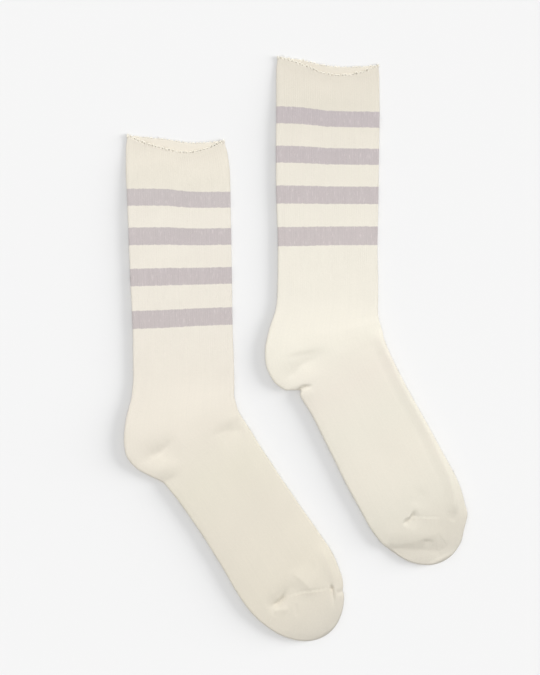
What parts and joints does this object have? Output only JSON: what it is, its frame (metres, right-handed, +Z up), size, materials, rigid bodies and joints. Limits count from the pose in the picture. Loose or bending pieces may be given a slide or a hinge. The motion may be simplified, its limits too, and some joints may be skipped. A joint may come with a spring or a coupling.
{
  "type": "pair of crew socks laid flat",
  "caption": "Pair of cream crew socks with mauve stripes round a ribbed leg, laid flat on their sides, each a hollow knitted tube open at the cuff and closed at the toe.",
  "frame": {"origin": "middle of the pair, on the surface that it lies on", "axes": "+X to the right of the picture, +Y up the picture towards the cuffs, +Z up off the surface"},
  "size_m": [0.2902, 0.4956, 0.0092],
  "materials": {
    "cream_knit": "soft matte cotton knit, cream with mauve stripes"
  },
  "bodies": {
    "root": {"left_sock": "cream_knit", "right_sock": "cream_knit"}
  },
  "joints": []
}
